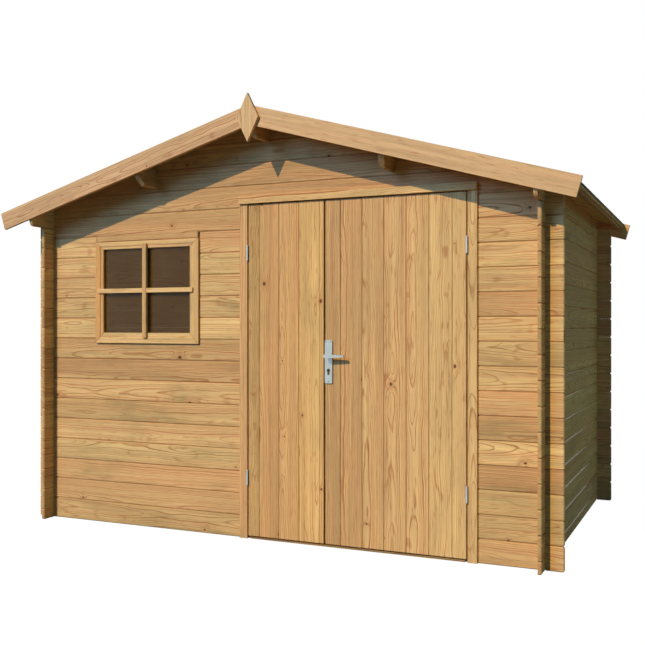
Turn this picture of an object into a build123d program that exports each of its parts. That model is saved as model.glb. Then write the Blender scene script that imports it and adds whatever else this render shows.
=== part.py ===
from build123d import *
from math import ceil, cos, radians, sin, tan
import os

# Log walls, outer face to outer face
wall_length = 2830
wall_depth = 1830
log_thickness = 19
log_pitch = 115
log_overhang = 85
log_chamfer = 5
log_inner_chamfer = 3
log_end_chamfer = 4
bed_gap = 0.4
notch_play = 0.3
seat_gap = 0.2
side_full_courses = 14
front_courses = 15
notch_share = 0.25
bottom_log_share = 0.5

# Roof
roof_pitch = 16
eaves_log_rise = 104
eaves_overhang = 150
roof_board_thickness = 18
felt_thickness = 4
felt_edge_overhang = 6
batten_width = 32
batten_depth = 11
batten_inset = 12
front_overhang = 200
back_overhang = 72
barge_thickness = 18
barge_width = 95
barge_reach = 42
barge_rise = 29
finial_width = 120
finial_height = 243
finial_thickness = 18
finial_drop = 66

# Purlins and the shaped eaves logs
purlin_width = 28
purlin_depth = 122
purlin_place_share = 0.503
purlin_nose_length = 48
purlin_nose_height = 48
eaves_nose_radius = 28

# Door frame, measured from the wall's outer face
frame_left = -158.5
frame_right = 1105
frame_face_width = 45.5
frame_proud = 12
frame_inside_proud = 12
housing_depth = 20
stop_width = 14
head_bottom = 1742
head_height = 36
head_proud = 27
head_housing_depth = 18
sill_height = 9
sill_setback = 5

# Door leaves
leaf_setback = 2
leaf_thickness = 18
leaf_side_gap = 6
leaf_top_gap = 5
leaf_bottom = 15
leaf_stop_gap = 5
meeting_line = 326.5
meeting_gap = 8
board_width = 114
left_first_board = 63.5
right_first_board = 84
board_groove_depth = 3
board_groove_width = 5
ledge_width = 95
ledge_thickness = 18
ledge_inset = 24
ledge_height = 240
brace_width = 80

# Lift-off hinges
hinge_length = 80
hinge_radius = 5.5
hinge_stand_off = 7
hinge_pin_radius = 3
hinge_pin_length = 34
hinge_pin_play = 0.05
hinge_pin_end_gap = 1
hinge_knuckle_gap = 0.5
hinge_plate_thickness = 2
hinge_plate_reach = 16
lower_hinge_bottom = 280
upper_hinge_bottom = 1447

# Lock and lever handle
plate_width = 40
plate_height = 216
plate_thickness = 8
plate_corner_radius = 6
plate_edge_gap = 1.5
lever_height = 957
plate_below_lever = 137
lever_to_key = 72
lever_stand_off = 42
lever_neck_radius = 9
lever_reach = 98
lever_thickness = 13
lever_root_height = 20
lever_tip_height = 9
spindle_side = 8
spindle_hole_radius = 6.5
lever_bore_radius = 9.5
key_round_radius = 8.5
key_stem_width = 10
key_stem_length = 22
key_play = 0.3
key_proud = 2

# Fixed window beside the door
window_left = -1089
window_right = -410
window_bottom = 1010
window_top = 1576
window_fit = 2
trim_side_width = 55
trim_top_width = 41
trim_bottom_width = 58
trim_proud = 15
glass_cover = 10
glass_thickness = 4
glass_setback = 3
inner_trim_lap = 25
inner_trim_thickness = 14
tab_end_play = 14

# Worked-out values
overrun = 50
slope = radians(roof_pitch)
front_face = -wall_depth / 2
half_log = log_pitch * bottom_log_share
log_height = log_pitch - bed_gap
eaves_base = half_log + side_full_courses * log_pitch
ridge_underside = eaves_base + eaves_log_rise + wall_length / 2 * tan(slope)
gable_courses = ceil(ridge_underside / log_pitch) - front_courses
roof_half_width = wall_length / 2 + eaves_overhang
barge_half_width = roof_half_width + barge_reach
purlin_offset = wall_length / 2 * purlin_place_share
front_reach = wall_depth / 2 + front_overhang
back_reach = wall_depth / 2 + back_overhang
roof_start = -front_reach + barge_thickness + seat_gap
roof_end = back_reach - barge_thickness - seat_gap
plan_shift = (front_overhang - back_overhang) / 2
barge_apex = ridge_underside + barge_rise
finial_middle = barge_apex - finial_drop
opening_left = frame_left + frame_face_width
opening_right = frame_right - frame_face_width
frame_front = front_face - frame_proud
frame_back = front_face + log_thickness + frame_inside_proud
leaf_front = frame_front + leaf_setback
leaf_back = leaf_front + leaf_thickness
leaf_top = head_bottom - leaf_top_gap
stop_front = leaf_back + leaf_stop_gap
left_leaf_start = opening_left + leaf_side_gap
left_leaf_end = meeting_line - meeting_gap / 2
right_leaf_start = meeting_line + meeting_gap / 2
right_leaf_end = opening_right - leaf_side_gap
left_axis = opening_left + leaf_side_gap / 2
right_axis = opening_right - leaf_side_gap / 2
axis_depth = frame_front - hinge_stand_off
lever_axis = right_leaf_start + plate_edge_gap + plate_width / 2
key_height = lever_height - lever_to_key
plate_bottom = lever_height - plate_below_lever
ledge_bottoms = (ledge_height, leaf_top - ledge_height - ledge_width)
hinge_bottoms = (lower_hinge_bottom, upper_hinge_bottom)


def box_between(low, high):
    """A block from its lowest corner to its highest."""
    size = [b - a for a, b in zip(low, high)]
    return Pos(*low) * Box(*size, align=(Align.MIN, Align.MIN, Align.MIN))


def sheet(points):
    return make_face(Polyline(*points, close=True))


def along_x(points, start, end):
    """Points in depth and height, drawn out along the wall."""
    return extrude(Plane.YZ.offset(start) * sheet(points), amount=end - start)


def along_y(points, start, end):
    """Points in width and height, drawn out from front to back."""
    return extrude(Plane.XZ.offset(-start) * sheet(points), amount=start - end)


def upright(points, bottom, top):
    """Points in plan, drawn upwards."""
    return extrude(Pos(0, 0, bottom) * sheet(points), amount=top - bottom)


def roof_line(across):
    """Height of the roof boards' underside at a distance from the ridge."""
    return ridge_underside - abs(across) * tan(slope)


def log_foot(base):
    """Lower edge of a log's cross-section, chamfered on the outside."""
    return [(0, base + log_chamfer), (log_chamfer, base), (log_thickness, base)]


def log_outline(base, top):
    """Cross-section of a log, from its outer face inwards, with one small chamfer inside."""
    inner = log_thickness - log_inner_chamfer
    points = log_foot(base) + [(log_thickness, top - log_inner_chamfer), (inner, top)]
    return points + [(log_chamfer, top), (0, top - log_chamfer)]


def end_shape(start, end, base, top):
    """Plan of a log with its upright end edges chamfered."""
    cut = log_end_chamfer
    back = log_thickness
    plan = [(start + cut, 0), (end - cut, 0), (end, cut), (end, back - cut)]
    plan += [(end - cut, back), (start + cut, back), (start, back - cut), (start, cut)]
    return upright(plan, base, top)


def make_log(start, end, base, height=log_height):
    """One log with its outer face at depth 0."""
    top = base + height
    return along_x(log_outline(base, top), start, end) & end_shape(start, end, base, top)


def corner_notch(crossing, low, high):
    """The space that a crossing log takes at a corner."""
    half = log_thickness / 2 + notch_play
    return box_between((crossing - half, -overrun, low), (crossing + half, overrun, high))


def notch_corners(log, span, base, height, ends=(-1, 1), below=True, above=True):
    """Cut a log top and bottom where the logs of the next walls cross it."""
    depth = log_pitch * notch_share
    for end in ends:
        crossing = end * (span / 2 - log_thickness / 2)
        if below:
            log -= corner_notch(crossing, base - overrun, base + depth)
        if above:
            log -= corner_notch(crossing, base + height - depth, base + height + overrun)
    return log


def on_front(shape):
    return Pos(0, front_face, 0) * shape


def on_back(shape):
    return Rot(0, 0, 180) * on_front(shape)


def on_side(shape, side):
    return Rot(0, 0, 90 * side) * Pos(0, -wall_length / 2, 0) * shape


def window_gap():
    """Space that the window takes in the logs, up to the joint above it."""
    top = log_pitch * (int(window_top / log_pitch) + 1)
    low = (window_left - window_fit, -overrun, window_bottom - window_fit)
    return box_between(low, (window_right + window_fit, overrun, top - bed_gap / 2))


def front_wall_left():
    """Logs from the corner to the door, short ones beside the window."""
    logs = []
    start = -wall_length / 2 - log_overhang
    end = frame_left + housing_depth - seat_gap
    over_window = int(window_top / log_pitch) + 1
    for course in range(front_courses):
        base = course * log_pitch
        log = notch_corners(make_log(start, end, base), wall_length, base, log_height, ends=(-1,))
        if course == over_window:
            tab_base = window_top + window_fit
            tab_end = window_right + window_fit - tab_end_play
            tab_height = base + log_height - tab_base
            log += make_log(window_left - window_fit + bed_gap, tab_end, tab_base, tab_height)
        else:
            log -= window_gap()
        logs += log.solids()
    return on_front(Compound(children=logs))


def front_wall_right():
    """Logs from the door to the corner."""
    logs = []
    start = frame_right - housing_depth + seat_gap
    end = wall_length / 2 + log_overhang
    for course in range(front_courses):
        base = course * log_pitch
        log = make_log(start, end, base)
        logs += notch_corners(log, wall_length, base, log_height, ends=(1,)).solids()
    return on_front(Compound(children=logs))


def under_roof(gap):
    """Everything below the roof boards, across the whole shed."""
    reach = wall_length / 2 + log_overhang + overrun
    points = [(-reach, -overrun), (reach, -overrun), (reach, roof_line(reach) - gap)]
    points += [(0, ridge_underside - gap), (-reach, roof_line(reach) - gap)]
    return along_y(points, -overrun, overrun)


def gable(over_door):
    """Top courses of a gable wall, cut to the roof and let in round the purlins."""
    logs = []
    reach = wall_length / 2 + log_overhang
    for row in range(gable_courses):
        base = (front_courses + row) * log_pitch
        log = make_log(-reach, reach, base)
        if row == 0:
            log = notch_corners(log, wall_length, base, log_height, above=False)
            if over_door:
                seat = head_bottom + head_height - head_housing_depth + bed_gap
                left = frame_left - notch_play
                log -= box_between((left, -overrun, 0), (frame_right + notch_play, overrun, seat))
        log &= under_roof(bed_gap)
        log -= ridge_purlin_section(notch_play, -overrun, overrun)
        for side in (-1, 1):
            log -= side_purlin_section(side, notch_play, -overrun, overrun)
        # Wedges left between a purlin and the roof are too small to stay.
        logs += [piece for piece in log.solids() if piece.bounding_box().size.X > log_pitch]
    return Compound(children=logs)


def back_wall():
    """Full-length logs of the closed back."""
    logs = []
    reach = wall_length / 2 + log_overhang
    for course in range(front_courses):
        base = course * log_pitch
        log = make_log(-reach, reach, base)
        logs += notch_corners(log, wall_length, base, log_height).solids()
    return on_back(Compound(children=logs))


def side_wall(side):
    """Half log at the ground, then full logs half a course above the front's."""
    reach = wall_depth / 2 + log_overhang
    bottom_height = half_log - bed_gap
    log = make_log(-reach, reach, 0, bottom_height)
    logs = notch_corners(log, wall_depth, 0, bottom_height, below=False).solids()
    for course in range(side_full_courses):
        base = half_log + course * log_pitch
        log = make_log(-reach, reach, base)
        logs += notch_corners(log, wall_depth, base, log_height).solids()
    return on_side(Compound(children=logs), side)


def eaves_log(side):
    """Top log of a side wall: bevelled to the roof, with rounded noses out to the barge boards."""
    base = eaves_base
    outer = roof_line(wall_length / 2) - bed_gap
    inner = roof_line(wall_length / 2 - log_thickness) - bed_gap
    log = along_x(log_foot(base) + [(log_thickness, inner), (0, outer)], roof_start, roof_end)
    log = notch_corners(log, wall_depth, base, log_height)
    nose = Rot(90, 0, 0) * Cylinder(eaves_nose_radius, 2 * overrun)
    for end, tip in ((-1, roof_start), (1, roof_end)):
        centre = Pos(tip - end * eaves_nose_radius, 0, base + eaves_nose_radius)
        corner = sorted((0, end * eaves_nose_radius))
        block = box_between((corner[0], -overrun, -eaves_nose_radius), (corner[1], overrun, 0))
        log -= centre * (block - nose)
    log = on_side(log, 1)
    return log if side > 0 else mirror(log, about=Plane.YZ)


def ridge_purlin_section(play, start, end):
    """Ridge beam with its top bevelled to both slopes."""
    half = purlin_width / 2 + play
    bottom = ridge_underside - purlin_depth - play
    points = [(-half, bottom), (half, bottom), (half, roof_line(half)), (0, ridge_underside)]
    points += [(-half, roof_line(half))]
    return along_y(points, start, end)


def side_purlin_section(side, play, start, end):
    """Purlin set square to the roof slope."""
    half = purlin_width / 2 + play
    block = box_between((-half, start, -purlin_depth - play), (half, end, 0))
    tilted = Pos(purlin_offset, 0, roof_line(purlin_offset)) * Rot(0, roof_pitch, 0) * block
    return tilted if side > 0 else mirror(tilted, about=Plane.YZ)


def nose_cut(bottom):
    """Slanted cuts under a purlin's ends, at the front and at the back."""
    rise = purlin_nose_height / purlin_nose_length * overrun
    cuts = []
    for end, tip in ((-1, roof_start), (1, roof_end)):
        inner = tip - end * (purlin_nose_length + overrun)
        outer = tip + end * overrun
        cut = [(inner, bottom - rise), (outer, bottom - rise)]
        cut += [(outer, bottom + purlin_nose_height + rise)]
        cuts.append(along_x(cut, -wall_length / 2, wall_length / 2))
    return cuts


def ridge_purlin():
    purlin = ridge_purlin_section(0, roof_start, roof_end) - roof_shadow(bed_gap)
    for cut in nose_cut(ridge_underside - purlin_depth):
        purlin -= cut
    return purlin


def roof_shadow(gap):
    """A thin layer just under the roof boards, which keeps what carries them clear."""
    run = roof_half_width
    points = [(0, ridge_underside + overrun), (-run, roof_line(run) + overrun)]
    points += [(-run, roof_line(run) - gap), (0, ridge_underside - gap), (run, roof_line(run) - gap)]
    points += [(run, roof_line(run) + overrun)]
    return along_y(points, -front_reach, back_reach)


def side_purlin(side):
    purlin = side_purlin_section(side, 0, roof_start, roof_end) - roof_shadow(bed_gap)
    bottom = roof_line(purlin_offset) - purlin_depth * cos(slope)
    for cut in nose_cut(bottom):
        purlin -= cut
    return purlin


def roof_layer(side, lower, thickness, run):
    """A flat sheet on one slope, from the ridge to its edge square to the slope."""
    base = ridge_underside + lower / cos(slope)
    start = seat_gap / 2
    edge = (run, base - run * tan(slope))
    far = (edge[0] + thickness * sin(slope), edge[1] + thickness * cos(slope))
    points = [(start, base - start * tan(slope)), edge, far]
    points += [(start, base + thickness / cos(slope) - start * tan(slope))]
    layer = along_y(points, roof_start, roof_end)
    return layer if side > 0 else mirror(layer, about=Plane.YZ)


def roof_boards(side):
    return roof_layer(side, 0, roof_board_thickness, roof_half_width)


def roof_felt(side):
    edge = roof_half_width + felt_edge_overhang
    return roof_layer(side, roof_board_thickness + seat_gap, felt_thickness, edge)


def eaves_batten(side):
    """Flat strip under the lower edge of the roof boards."""
    outer = -batten_inset
    inner = outer - batten_width
    low = -seat_gap - batten_depth
    block = box_between((inner, roof_start, low), (outer, roof_end, -seat_gap))
    batten = Pos(roof_half_width, 0, roof_line(roof_half_width)) * Rot(0, roof_pitch, 0) * block
    return batten if side > 0 else mirror(batten, about=Plane.YZ)


def gable_face(end):
    """Outer face of the barge boards at the front or the back."""
    return -front_reach if end < 0 else back_reach


def bargeboard(side, end):
    """Sloping gable board, plumb at the ridge and square at its lower end."""
    start = seat_gap / 2
    tip = (barge_half_width, barge_apex - barge_half_width * tan(slope))
    heel = (tip[0] - barge_width * sin(slope), tip[1] - barge_width * cos(slope))
    drop = barge_width / cos(slope)
    top = barge_apex - start * tan(slope)
    faces = sorted((gable_face(end), gable_face(end) - end * barge_thickness))
    board = along_y([(start, top), tip, heel, (start, top - drop)], *faces)
    return board if side > 0 else mirror(board, about=Plane.YZ)


def finial(end):
    """Diamond that covers the joint of two barge boards."""
    half_width = finial_width / 2
    half_height = finial_height / 2
    points = [(0, finial_middle - half_height), (half_width, finial_middle)]
    points += [(0, finial_middle + half_height), (-half_width, finial_middle)]
    start = gable_face(end) + end * seat_gap
    return along_y(points, *sorted((start, start + end * finial_thickness)))


def door_jamb(left):
    """Door post: houses the log ends in a groove and stops the leaf behind its face."""
    outer, sign = (frame_left, 1) if left else (frame_right, -1)
    inner = outer + sign * frame_face_width
    stop = inner + sign * stop_width
    groove = outer + sign * housing_depth
    near = front_face - seat_gap
    far = front_face + log_thickness + seat_gap
    plan = [(outer, frame_front), (inner, frame_front), (inner, stop_front), (stop, stop_front)]
    plan += [(stop, frame_back), (outer, frame_back), (outer, far), (groove, far)]
    plan += [(groove, near), (outer, near)]
    return upright(plan, 0, head_bottom - seat_gap)


def door_head():
    """Door lintel: the log above stands in its groove, and a lip stops the leaves."""
    top = head_bottom + head_height
    seat = top - head_housing_depth
    near = front_face - seat_gap
    far = front_face + log_thickness + seat_gap
    front = front_face - head_proud
    outline = [(front, head_bottom), (frame_back, head_bottom), (frame_back, top), (far, top)]
    outline += [(far, seat), (near, seat), (near, top), (front, top)]
    head = along_x(outline, frame_left, frame_right)
    lip_start = opening_left + stop_width + seat_gap
    lip_end = opening_right - stop_width - seat_gap
    lip = [(stop_front, head_bottom - stop_width), (frame_back, head_bottom - stop_width)]
    lip += [(frame_back, head_bottom + seat_gap), (stop_front, head_bottom + seat_gap)]
    return head + along_x(lip, lip_start, lip_end)


def door_sill():
    """Flat strip on the ground between the posts, under the leaves."""
    start = opening_left + stop_width + seat_gap
    end = opening_right - stop_width - seat_gap
    front = leaf_front + sill_setback
    return box_between((start, front, 0), (end, frame_back, sill_height))


def door_boards(start, end, first_joint):
    """Leaf of upright boards, shown by shallow joints on both faces."""
    half = board_groove_width / 2
    depth = board_groove_depth
    joints = []
    joint = first_joint
    while joint < end - board_width / 2:
        joints.append(joint)
        joint += board_width
    plan = [(start, leaf_front)]
    for joint in joints:
        plan += [(joint - half, leaf_front), (joint, leaf_front + depth), (joint + half, leaf_front)]
    plan += [(end, leaf_front), (end, leaf_back)]
    for joint in reversed(joints):
        plan += [(joint + half, leaf_back), (joint, leaf_back - depth), (joint - half, leaf_back)]
    plan += [(start, leaf_back)]
    return upright(plan, leaf_bottom, leaf_top)


def left_leaf():
    return door_boards(left_leaf_start, left_leaf_end, left_leaf_start + left_first_board)


def right_leaf():
    """Leaf with the lock: bored for the spindle and cut for the key cylinder."""
    leaf = door_boards(right_leaf_start, right_leaf_end, right_leaf_start + right_first_board)
    near = leaf_front - overrun
    far = leaf_back + overrun
    leaf -= across_leaf(RegularPolygon(spindle_hole_radius, 8), lever_height, near, far)
    half = key_round_radius + key_play
    pocket = box_between((-half, near, -key_stem_length - key_play), (half, far, half))
    return leaf - Pos(lever_axis, 0, key_height) * pocket


def across_leaf(outline, height, start, end):
    """An outline about the lock's upright centre line, drawn through the leaf."""
    plane = Plane((lever_axis, start, height), x_dir=(1, 0, 0), z_dir=(0, 1, 0))
    return extrude(plane * outline, amount=end - start)


def key_shape(play, start, end):
    """Round head and narrower stem of a profile cylinder."""
    width = key_stem_width + 2 * play
    low = (lever_axis - width / 2, start, key_height - key_stem_length - play)
    stem = box_between(low, (lever_axis + width / 2, end, key_height))
    return across_leaf(Circle(key_round_radius + play), key_height, start, end) + stem


def door_ledges(start, end, brace_up):
    """Two ledges and a slanting brace on the inside of a leaf."""
    near = leaf_back + seat_gap
    far = near + ledge_thickness
    left = start + ledge_inset
    right = end - ledge_inset
    pieces = [box_between((left, near, z), (right, far, z + ledge_width)) for z in ledge_bottoms]
    foot = ledge_bottoms[0] + ledge_width + seat_gap
    head = ledge_bottoms[1] - seat_gap
    low, high = (left, right - brace_width) if brace_up else (right - brace_width, left)
    outline = [(low, foot), (low + brace_width, foot), (high + brace_width, head), (high, head)]
    pieces.append(along_y(outline, near, far))
    return Compound(children=pieces)


def hinge_frame_halves(axis, side):
    """Lower knuckles with their pins, each on a plate against the post."""
    halves = []
    height = (hinge_length - hinge_knuckle_gap) / 2
    post = axis - side * leaf_side_gap / 2
    for bottom in hinge_bottoms:
        knuckle = Pos(axis, axis_depth, bottom + height / 2) * Cylinder(hinge_radius, height)
        pin_height = height + hinge_pin_length
        pin = Pos(axis, axis_depth, bottom + pin_height / 2) * Cylinder(hinge_pin_radius, pin_height)
        edges = sorted((post, post + side * hinge_plate_thickness))
        low = (edges[0], axis_depth, bottom)
        high = (edges[1], frame_front + hinge_plate_reach, bottom + height)
        halves.append(knuckle + box_between(low, high) + pin)
    return Compound(children=halves)


def hinge_door_halves(axis, side):
    """Upper knuckles that drop over the pins, each on a plate against the leaf."""
    halves = []
    height = (hinge_length - hinge_knuckle_gap) / 2
    leaf = axis + side * leaf_side_gap / 2
    for bottom in hinge_bottoms:
        base = bottom + hinge_length - height
        knuckle = Pos(axis, axis_depth, base + height / 2) * Cylinder(hinge_radius, height)
        edges = sorted((leaf, leaf - side * hinge_plate_thickness))
        low = (edges[0], axis_depth, base)
        half = knuckle + box_between(low, (edges[1], leaf_front + hinge_plate_reach, base + height))
        bore_top = bottom + height + hinge_pin_length + hinge_pin_end_gap
        bore_height = bore_top - base
        bore_radius = hinge_pin_radius + hinge_pin_play
        bore = Pos(axis, axis_depth, base + bore_height / 2) * Cylinder(bore_radius, bore_height)
        halves.append(half - bore)
    return Compound(children=halves)


def lock_plate(start, end):
    """Long plate with rounded corners, bored for the lever and the key."""
    middle = plate_bottom + plate_height / 2
    outline = RectangleRounded(plate_width, plate_height, plate_corner_radius)
    plate = across_leaf(outline, middle, start, end)
    plate -= across_leaf(Circle(lever_bore_radius), lever_height, start - overrun, end + overrun)
    return plate - key_shape(key_play, start - overrun, end + overrun)


def outer_plate():
    return lock_plate(leaf_front - seat_gap - plate_thickness, leaf_front - seat_gap)


def inner_plate():
    return lock_plate(leaf_back + seat_gap, leaf_back + seat_gap + plate_thickness)


def lock_cylinder():
    """Key cylinder through the leaf, level with both plates and a little proud."""
    reach = seat_gap + plate_thickness + key_proud
    return key_shape(0, leaf_front - reach, leaf_back + reach)


def lever_bar(root, thickness):
    """Handle bar, deeper at the neck and narrow at its rounded tip."""
    root_half = lever_root_height / 2
    tip_half = lever_tip_height / 2
    low_right = (lever_reach - tip_half, -tip_half)
    high_right = (lever_reach - tip_half, tip_half)
    outline = Polyline((0, root_half), high_right)
    outline += ThreePointArc(high_right, (lever_reach, 0), low_right)
    outline += Polyline(low_right, (0, -root_half))
    outline += ThreePointArc((0, -root_half), (-root_half, 0), (0, root_half))
    return across_leaf(make_face(outline), lever_height, root, root + thickness)


def lever_handle():
    """Two levers on one square spindle, with round necks that turn in the plates."""
    front = leaf_front - seat_gap - plate_thickness - lever_stand_off
    back = leaf_back + seat_gap + plate_thickness + lever_stand_off
    outer = lever_bar(front, lever_thickness)
    inner = lever_bar(back - lever_thickness, lever_thickness)
    outer += across_leaf(Circle(lever_neck_radius), lever_height, front, leaf_front - seat_gap)
    inner += across_leaf(Circle(lever_neck_radius), lever_height, leaf_back + seat_gap, back)
    spindle = across_leaf(Rectangle(spindle_side, spindle_side), lever_height, front, back)
    return outer + inner + spindle


def mitred_frame(left, right, bottom, top, widths, near, far):
    """Four boards with mitred corners round an opening."""
    side_width, top_width, bottom_width = widths
    inner_left = left + side_width
    inner_right = right - side_width
    inner_bottom = bottom + bottom_width
    inner_top = top - top_width
    outer = [(left, bottom), (right, bottom), (right, top), (left, top)]
    inner = [(inner_left, inner_bottom), (inner_right, inner_bottom)]
    inner += [(inner_right, inner_top), (inner_left, inner_top)]
    pieces = []
    for index in range(4):
        after = (index + 1) % 4
        piece = [outer[index], outer[after], inner[after], inner[index]]
        pieces.append(along_y(piece, near, far))
    gap = seat_gap / 2
    joints = [sheet_between(a, b, gap, near, far) for a, b in zip(outer, inner)]
    return Compound(children=[trim_ends(piece, joints) for piece in pieces])


def sheet_between(a, b, gap, near, far):
    """Thin upright layer along a mitre."""
    run = Vector(b[0] - a[0], b[1] - a[1])
    side = Vector(-run.Y, run.X).normalized() * gap
    start = Vector(*a) - run
    end = Vector(*b) + run
    corners = (start + side, end + side, end - side, start - side)
    return along_y([(p.X, p.Y) for p in corners], near, far)


def trim_ends(piece, joints):
    for joint in joints:
        piece -= joint
    return piece.solids().sort_by(SortBy.VOLUME)[-1]


def window_trim():
    widths = (trim_side_width, trim_top_width, trim_bottom_width)
    near = front_face - trim_proud
    return mitred_frame(window_left, window_right, window_bottom, window_top, widths, near, front_face)


def window_lining():
    """Plain frame in the thickness of the wall, close round the glass."""
    widths = [w - glass_cover for w in (trim_side_width, trim_top_width, trim_bottom_width)]
    near = front_face + seat_gap
    far = front_face + log_thickness
    return mitred_frame(window_left, window_right, window_bottom, window_top, widths, near, far)


def window_inner_trim():
    """Inside trim that laps over the log ends and the lining."""
    left = window_left - inner_trim_lap
    right = window_right + inner_trim_lap
    bottom = window_bottom - inner_trim_lap
    top = window_top + inner_trim_lap
    widths = [w + inner_trim_lap for w in (trim_side_width, trim_top_width, trim_bottom_width)]
    near = front_face + log_thickness + seat_gap
    return mitred_frame(left, right, bottom, top, widths, near, near + inner_trim_thickness)


def window_glass():
    side = trim_side_width - glass_cover + seat_gap
    near = front_face + glass_setback
    low = (window_left + side, near, window_bottom + trim_bottom_width - glass_cover + seat_gap)
    top = window_top - trim_top_width + glass_cover - seat_gap
    return box_between(low, (window_right - side, near + glass_thickness, top))


nodes = {
    "front_wall_left": front_wall_left(),
    "front_wall_right": front_wall_right(),
    "front_gable": on_front(gable(over_door=True)),
    "back_wall": back_wall(),
    "back_gable": on_back(gable(over_door=False)),
    "ridge_purlin": ridge_purlin(),
    "door_left_jamb": door_jamb(left=True),
    "door_right_jamb": door_jamb(left=False),
    "door_head": door_head(),
    "door_sill": door_sill(),
    "left_door_boards": left_leaf(),
    "right_door_boards": right_leaf(),
    "left_door_ledges": door_ledges(left_leaf_start, left_leaf_end, brace_up=True),
    "right_door_ledges": door_ledges(right_leaf_start, right_leaf_end, brace_up=False),
    "left_hinge_frame_halves": hinge_frame_halves(left_axis, 1),
    "left_hinge_door_halves": hinge_door_halves(left_axis, 1),
    "right_hinge_frame_halves": hinge_frame_halves(right_axis, -1),
    "right_hinge_door_halves": hinge_door_halves(right_axis, -1),
    "outer_lock_plate": outer_plate(),
    "inner_lock_plate": inner_plate(),
    "lock_cylinder": lock_cylinder(),
    "lever_handle": lever_handle(),
    "window_trim": window_trim(),
    "window_lining": window_lining(),
    "window_inner_trim": window_inner_trim(),
    "window_glass": window_glass(),
}
for side_name, side in (("left", -1), ("right", 1)):
    nodes[side_name + "_wall"] = side_wall(side)
    nodes[side_name + "_eaves_log"] = eaves_log(side)
    nodes[side_name + "_purlin"] = side_purlin(side)
    nodes[side_name + "_roof_boards"] = roof_boards(side)
    nodes[side_name + "_roof_felt"] = roof_felt(side)
    nodes[side_name + "_eaves_batten"] = eaves_batten(side)
    nodes["front_" + side_name + "_bargeboard"] = bargeboard(side, -1)
    nodes["back_" + side_name + "_bargeboard"] = bargeboard(side, 1)
nodes["front_finial"] = finial(-1)
nodes["back_finial"] = finial(1)

os.makedirs("parts", exist_ok=True)
for name, shape in nodes.items():
    # The origin is the middle of the plan with the roof, so the walls stand a little to the back.
    export_step(Pos(0, plan_shift, 0) * shape, "parts/" + name + ".step")
print(len(nodes), "nodes written")
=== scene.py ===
import math

import bmesh
import bpy
from mathutils import Matrix, Vector


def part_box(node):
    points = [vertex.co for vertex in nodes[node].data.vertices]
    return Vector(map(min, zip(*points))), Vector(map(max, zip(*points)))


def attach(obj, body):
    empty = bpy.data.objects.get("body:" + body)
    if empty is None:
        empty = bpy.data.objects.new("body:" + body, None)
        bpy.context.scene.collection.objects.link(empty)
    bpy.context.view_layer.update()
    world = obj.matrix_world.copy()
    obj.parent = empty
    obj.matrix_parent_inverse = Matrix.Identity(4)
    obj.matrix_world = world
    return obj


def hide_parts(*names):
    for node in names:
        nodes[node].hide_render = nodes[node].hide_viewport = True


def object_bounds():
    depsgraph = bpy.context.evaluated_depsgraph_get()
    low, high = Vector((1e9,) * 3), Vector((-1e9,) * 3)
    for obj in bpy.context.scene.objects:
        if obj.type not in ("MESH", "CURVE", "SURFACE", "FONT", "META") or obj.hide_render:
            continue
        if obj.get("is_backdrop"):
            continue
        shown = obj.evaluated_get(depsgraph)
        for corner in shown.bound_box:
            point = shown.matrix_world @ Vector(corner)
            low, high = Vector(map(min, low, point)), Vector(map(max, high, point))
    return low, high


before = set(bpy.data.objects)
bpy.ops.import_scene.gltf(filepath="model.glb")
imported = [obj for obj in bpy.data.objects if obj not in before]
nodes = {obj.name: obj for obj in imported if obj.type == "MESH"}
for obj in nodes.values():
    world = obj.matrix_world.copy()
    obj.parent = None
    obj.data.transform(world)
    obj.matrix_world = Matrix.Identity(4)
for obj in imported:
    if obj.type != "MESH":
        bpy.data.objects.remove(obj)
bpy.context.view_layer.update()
print("stage: frame loaded,", len(nodes), "nodes")


def tint(red, green, blue):
    # colour written as on screen, 0 to 255
    def linear(level):
        share = level / 255
        return share / 12.92 if share < 0.04045 else ((share + 0.055) / 1.055) ** 2.4
    return (linear(red), linear(green), linear(blue), 1.0)


# shader sums

class Wire:
    # one output socket; sums of wires add their own Math nodes
    def __init__(self, finish, socket):
        self.finish = finish
        self.socket = socket

    def sum(self, operation, *values):
        return self.finish.add("Math", {"operation": operation}, dict(enumerate(values)))

    def __add__(self, other):
        return self.sum("ADD", self, other)

    def __radd__(self, other):
        return self.sum("ADD", other, self)

    def __sub__(self, other):
        return self.sum("SUBTRACT", self, other)

    def __rsub__(self, other):
        return self.sum("SUBTRACT", other, self)

    def __mul__(self, other):
        return self.sum("MULTIPLY", self, other)

    def __rmul__(self, other):
        return self.sum("MULTIPLY", other, self)

    def __truediv__(self, other):
        return self.sum("DIVIDE", self, other)

    def __gt__(self, other):
        return self.sum("GREATER_THAN", self, other)

    def __lt__(self, other):
        return self.sum("LESS_THAN", self, other)

    def __abs__(self):
        return self.sum("ABSOLUTE", self)

    def floor(self):
        return self.sum("FLOOR", self)

    def fract(self):
        return self.sum("FRACT", self)

    def root(self):
        return self.sum("SQRT", self)

    def exp(self):
        return self.sum("EXPONENT", self)

    def atMost(self, other):
        return self.sum("MINIMUM", self, other)

    def atLeast(self, other):
        return self.sum("MAXIMUM", self, other)

    def ease(self, low, high):
        # 0 below low, 1 above high, smooth between
        sockets = {"Value": self, "From Min": low, "From Max": high}
        return self.finish.add("MapRange", {"interpolation_type": "SMOOTHSTEP"}, sockets)


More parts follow.
